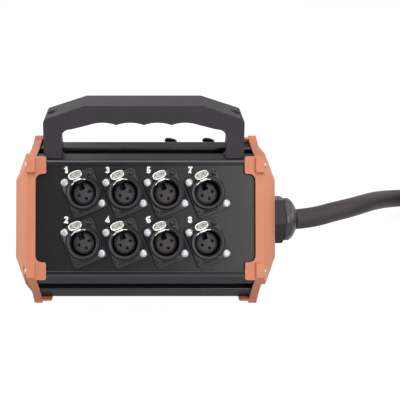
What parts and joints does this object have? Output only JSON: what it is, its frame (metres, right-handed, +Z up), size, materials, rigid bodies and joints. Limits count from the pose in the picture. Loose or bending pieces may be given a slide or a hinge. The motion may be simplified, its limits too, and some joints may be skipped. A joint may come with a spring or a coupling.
{
  "type": "stage box snake",
  "caption": "Tent-shaped aluminium stage box with panel sockets on two sloping faces, orange end caps, a top handle and a coiled multicore tail ending in a multipin plug.",
  "frame": {"origin": "on the floor, under the middle of the housing", "axes": "+X along the housing towards the cable gland, -Y towards the side with the most sockets, +Z up"},
  "size_m": [0.5499, 0.2214, 0.1481],
  "materials": {
    "anodised_rail": "black anodised, satin",
    "panel_black": "black, semi-gloss",
    "cap_orange": "moulded, satin",
    "handle_grey": "moulded, fine grain",
    "fastener_steel": "zinc plated",
    "socket_black": "black chrome, satin",
    "insert_grey": "moulded, matt",
    "latch_nickel": "nickel, bead-textured",
    "gland_black": "moulded polyamide",
    "seal_rubber": "matt",
    "cable_jacket": "extruded, matt",
    "tie_strap": "woven hook and loop",
    "plug_metal": "satin plated"
  },
  "bodies": {
    "housing": {"rail_top": "anodised_rail", "rail_front_bottom": "anodised_rail", "rail_rear_bottom": "anodised_rail", "front_panel": "panel_black", "rear_panel": "panel_black", "base_panel": "panel_black", "end_cap_left": "cap_orange", "end_cap_right": "cap_orange", "handle": "handle_grey", "handle_screw_left": "fastener_steel", "handle_screw_right": "fastener_steel", "handle_nut_left": "fastener_steel", "handle_nut_right": "fastener_steel", "socket_1_shell": "socket_black", "socket_1_insert": "insert_grey", "socket_2_shell": "socket_black", "socket_2_insert": "insert_grey", "socket_3_shell": "socket_black", "socket_3_insert": "insert_grey", "socket_4_shell": "socket_black", "socket_4_insert": "insert_grey", "socket_5_shell": "socket_black", "socket_5_insert": "insert_grey", "socket_6_shell": "socket_black", "socket_6_insert": "insert_grey", "socket_7_shell": "socket_black", "socket_7_insert": "insert_grey", "socket_8_shell": "socket_black", "socket_8_insert": "insert_grey", "socket_9_shell": "socket_black", "socket_9_insert": "insert_grey", "socket_10_shell": "socket_black", "socket_10_insert": "insert_grey", "gland_body": "gland_black", "gland_nut": "gland_black", "gland_locknut": "gland_black", "gland_seal": "seal_rubber", "cable_inner_end": "cable_jacket", "cable_run": "cable_jacket", "cable_coil": "cable_jacket", "cable_tail": "cable_jacket", "cable_tie_1": "tie_strap", "cable_tie_2": "tie_strap", "plug_clamp": "gland_black", "plug_shell": "plug_metal", "plug_insert": "insert_grey"},
    "latch_1": {"socket_1_latch": "latch_nickel"},
    "latch_2": {"socket_2_latch": "latch_nickel"},
    "latch_3": {"socket_3_latch": "latch_nickel"},
    "latch_4": {"socket_4_latch": "latch_nickel"},
    "latch_5": {"socket_5_latch": "latch_nickel"},
    "latch_6": {"socket_6_latch": "latch_nickel"},
    "latch_7": {"socket_7_latch": "latch_nickel"},
    "latch_8": {"socket_8_latch": "latch_nickel"},
    "latch_9": {"socket_9_latch": "latch_nickel"},
    "latch_10": {"socket_10_latch": "latch_nickel"},
    "coupling_ring": {"plug_ring": "plug_metal"}
  },
  "joints": [
    {"name": "latch_1_press", "type": "slide", "parent": "housing", "child": "latch_1", "axis": [0, 0.866, -0.5], "range_m": [0, 0.0014], "stiffness_N_per_m": 900, "springref_m": -0.001},
    {"name": "latch_2_press", "type": "slide", "parent": "housing", "child": "latch_2", "axis": [0, 0.866, -0.5], "range_m": [0, 0.0014], "stiffness_N_per_m": 900, "springref_m": -0.001},
    {"name": "latch_3_press", "type": "slide", "parent": "housing", "child": "latch_3", "axis": [0, 0.866, -0.5], "range_m": [0, 0.0014], "stiffness_N_per_m": 900, "springref_m": -0.001},
    {"name": "latch_4_press", "type": "slide", "parent": "housing", "child": "latch_4", "axis": [0, 0.866, -0.5], "range_m": [0, 0.0014], "stiffness_N_per_m": 900, "springref_m": -0.001},
    {"name": "latch_5_press", "type": "slide", "parent": "housing", "child": "latch_5", "axis": [0, 0.866, -0.5], "range_m": [0, 0.0014], "stiffness_N_per_m": 900, "springref_m": -0.001},
    {"name": "latch_6_press", "type": "slide", "parent": "housing", "child": "latch_6", "axis": [0, 0.866, -0.5], "range_m": [0, 0.0014], "stiffness_N_per_m": 900, "springref_m": -0.001},
    {"name": "latch_7_press", "type": "slide", "parent": "housing", "child": "latch_7", "axis": [0, 0.866, -0.5], "range_m": [0, 0.0014], "stiffness_N_per_m": 900, "springref_m": -0.001},
    {"name": "latch_8_press", "type": "slide", "parent": "housing", "child": "latch_8", "axis": [0, 0.866, -0.5], "range_m": [0, 0.0014], "stiffness_N_per_m": 900, "springref_m": -0.001},
    {"name": "latch_9_press", "type": "slide", "parent": "housing", "child": "latch_9", "axis": [0, -0.866, -0.5], "range_m": [0, 0.0014], "stiffness_N_per_m": 900, "springref_m": -0.001},
    {"name": "latch_10_press", "type": "slide", "parent": "housing", "child": "latch_10", "axis": [0, -0.866, -0.5], "range_m": [0, 0.0014], "stiffness_N_per_m": 900, "springref_m": -0.001},
    {"name": "coupling_ring_turn", "type": "hinge", "parent": "housing", "child": "coupling_ring", "pos_m": [0.2679, 0.04966, 0.0904], "axis": [0.5, 0.866, 0], "range_deg": [0, 110]}
  ]
}
